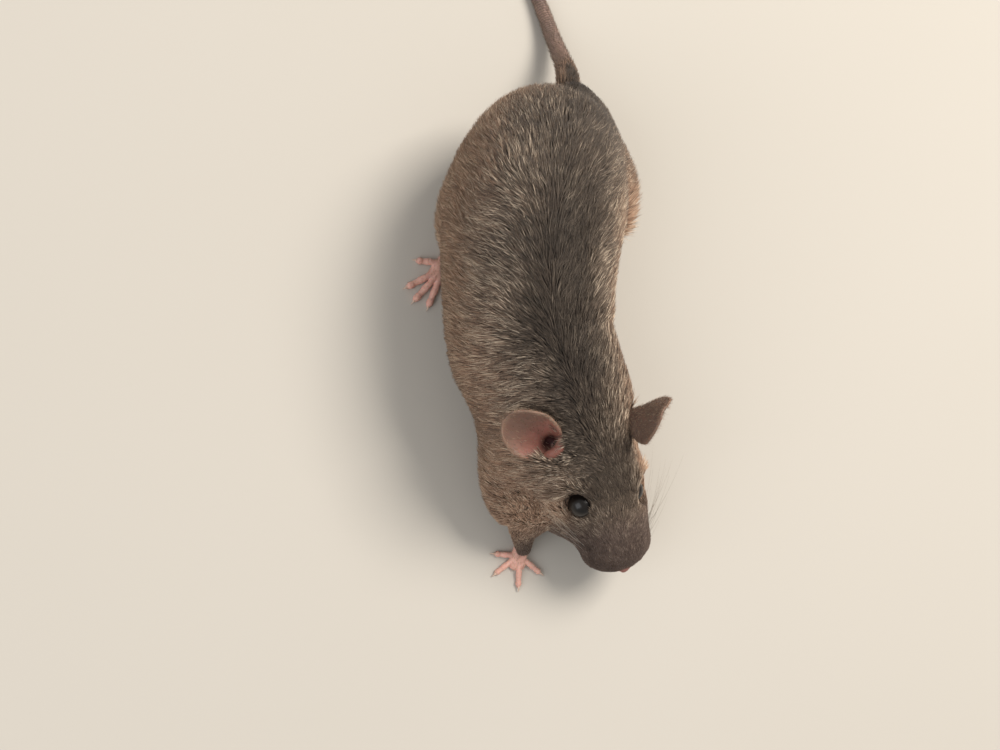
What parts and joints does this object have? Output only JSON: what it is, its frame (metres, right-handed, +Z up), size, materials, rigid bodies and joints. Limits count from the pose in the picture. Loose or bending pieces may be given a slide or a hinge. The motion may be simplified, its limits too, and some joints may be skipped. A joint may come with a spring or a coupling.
{
  "type": "house mouse",
  "caption": "Small short-furred mouse creeping with its head low and turned to its left, large round ears, and a long bare tail laid on the floor behind it.",
  "frame": {"origin": "middle of the whole mouse's box, tail included, at the floor its feet and tail lie on", "axes": "-Y is the way the mouse creeps, +X is its left side, +Z is up"},
  "size_m": [0.0498, 0.1334, 0.0271],
  "materials": {
    "coat": "short grey-brown agouti fur with pale hair tips",
    "bare_skin": "soft pink skin, finely creased",
    "ear_skin": "thin pinkish-brown skin with a fine down",
    "eye_black": "wet black"
  },
  "bodies": {
    "root": {"trunk": "coat", "neck": "coat", "head": "coat", "nose": "bare_skin", "eye_left": "eye_black", "eye_right": "eye_black", "ear_left": "ear_skin", "ear_right": "ear_skin", "foreleg_left": "coat", "foreleg_right": "coat", "hindleg_left": "coat", "hindleg_right": "coat", "forepaw_left": "bare_skin", "forepaw_right": "bare_skin", "hindfoot_left": "bare_skin", "hindfoot_right": "bare_skin", "tail_base": "bare_skin", "tail_middle": "bare_skin", "tail_tip": "bare_skin"}
  },
  "joints": []
}
